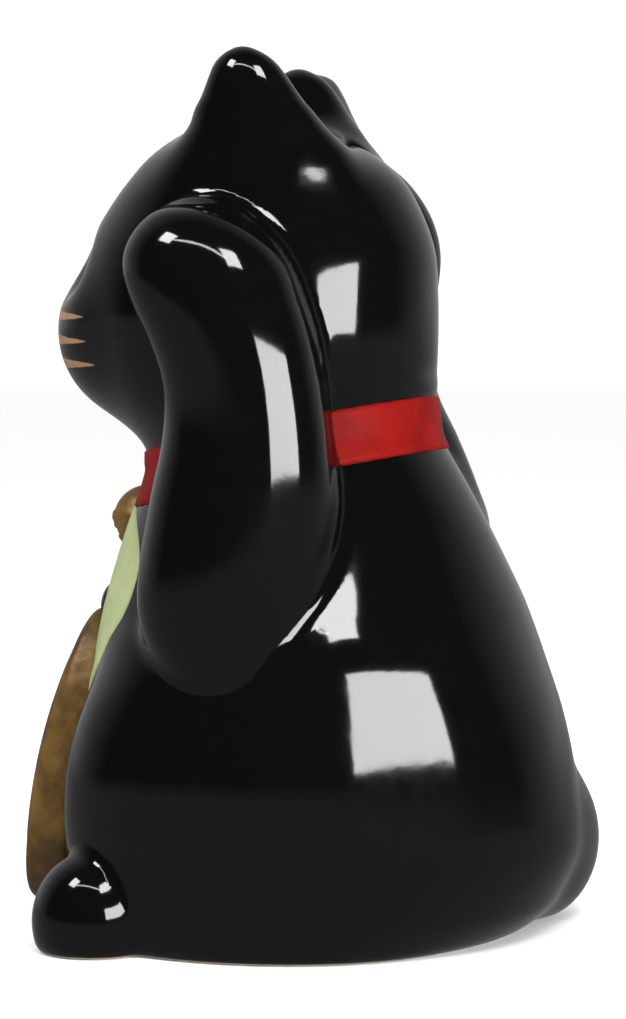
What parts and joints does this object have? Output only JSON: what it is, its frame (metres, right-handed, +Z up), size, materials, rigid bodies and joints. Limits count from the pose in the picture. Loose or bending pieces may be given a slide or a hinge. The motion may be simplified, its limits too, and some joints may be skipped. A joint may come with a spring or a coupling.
{
  "type": "beckoning cat coin bank",
  "caption": "Seated ceramic cat figurine with raised paws, collar, bib, bell and standing gold plaque; hollow coin bank with a slot in the head and a pull-out base stopper.",
  "frame": {"origin": "centre of the overall box, at the height the base rests on", "axes": "+Z up; the cat faces -Y; its left side is +X"},
  "size_m": [0.143, 0.158, 0.2406],
  "materials": {
    "black_glaze": "glossy black glaze",
    "collar_paint": "brushed red overglaze",
    "bib_paint": "yellow-green overglaze",
    "gold_paint": "brushed dull gold overglaze",
    "stopper_rubber": "matt soft rubber"
  },
  "bodies": {
    "cat": {"body_shell": "black_glaze", "head_shell": "black_glaze", "left_arm": "black_glaze", "right_arm": "black_glaze", "left_foot": "black_glaze", "right_foot": "black_glaze", "tail": "black_glaze", "collar": "collar_paint", "bib": "bib_paint", "bell": "gold_paint", "koban": "gold_paint", "koban_lug": "black_glaze"},
    "stopper": {"stopper": "stopper_rubber"}
  },
  "joints": [
    {"name": "stopper_pull", "type": "slide", "parent": "cat", "child": "stopper", "axis": [0, 0, -1], "range_m": [0, 0.03]}
  ]
}
